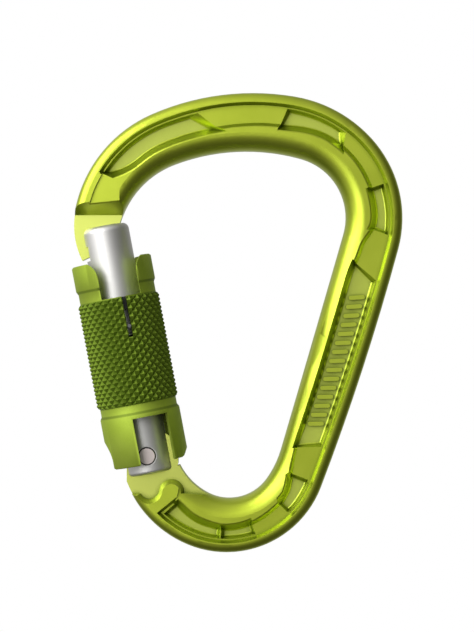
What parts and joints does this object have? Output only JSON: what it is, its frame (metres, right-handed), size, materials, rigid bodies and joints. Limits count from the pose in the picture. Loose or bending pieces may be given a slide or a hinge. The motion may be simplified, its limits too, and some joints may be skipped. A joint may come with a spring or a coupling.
{
  "type": "locking carabiner",
  "caption": "Pear-shaped aluminium locking carabiner with a round spring gate and a knurled sprung twist sleeve, for joining ropes, slings and belay devices",
  "frame": {"origin": "highest point of the wide basket's inner surface, on the middle plane of the body", "axes": "+Z from the narrow basket to the wide basket, along the length; +X from the gate to the spine; +Y through the thickness, away from the front face"},
  "size_m": [0.079, 0.0196, 0.1094],
  "materials": {
    "anodised_lime": "anodised satin",
    "anodised_green": "anodised matte",
    "gate_satin": "satin",
    "rivet_steel": "satin",
    "plunger_steel": "ground",
    "spring_steel": "drawn wire",
    "ring_steel": "blackened",
    "bush_plastic": "moulded"
  },
  "bodies": {
    "frame": {"frame_body": "anodised_lime"},
    "gate": {"gate": "gate_satin", "hinge_rivet": "rivet_steel", "gate_spring": "spring_steel", "lower_bush": "bush_plastic", "upper_bush": "bush_plastic", "retaining_ring": "ring_steel", "sleeve_spring": "spring_steel"},
    "plunger": {"gate_plunger": "plunger_steel"},
    "sleeve": {"locking_sleeve": "anodised_green"}
  },
  "joints": [
    {"name": "gate_hinge", "type": "hinge", "parent": "frame", "child": "gate", "pos_m": [-0.02363, 0, -0.07284], "axis": [0, 1, 0], "range_deg": [0, 24], "stiffness_Nm_per_rad": 0.3, "springref_deg": -57.3},
    {"name": "plunger_slide", "type": "slide", "parent": "gate", "child": "plunger", "axis": [-0.1857, 0, 0.9826], "range_m": [0, 0.00085], "deforming": ["gate_spring"]},
    {"name": "sleeve_twist", "type": "hinge", "parent": "gate", "child": "sleeve", "pos_m": [-0.02363, 0, -0.07284], "axis": [-0.1857, 0, 0.9826], "range_deg": [0, 76], "stiffness_Nm_per_rad": 0.02, "springref_deg": -91.67, "deforming": ["sleeve_spring"]}
  ],
  "couplings": [
    {"joint": "plunger_slide", "follows": "gate_hinge", "m_per_rad": 0.00195}
  ]
}
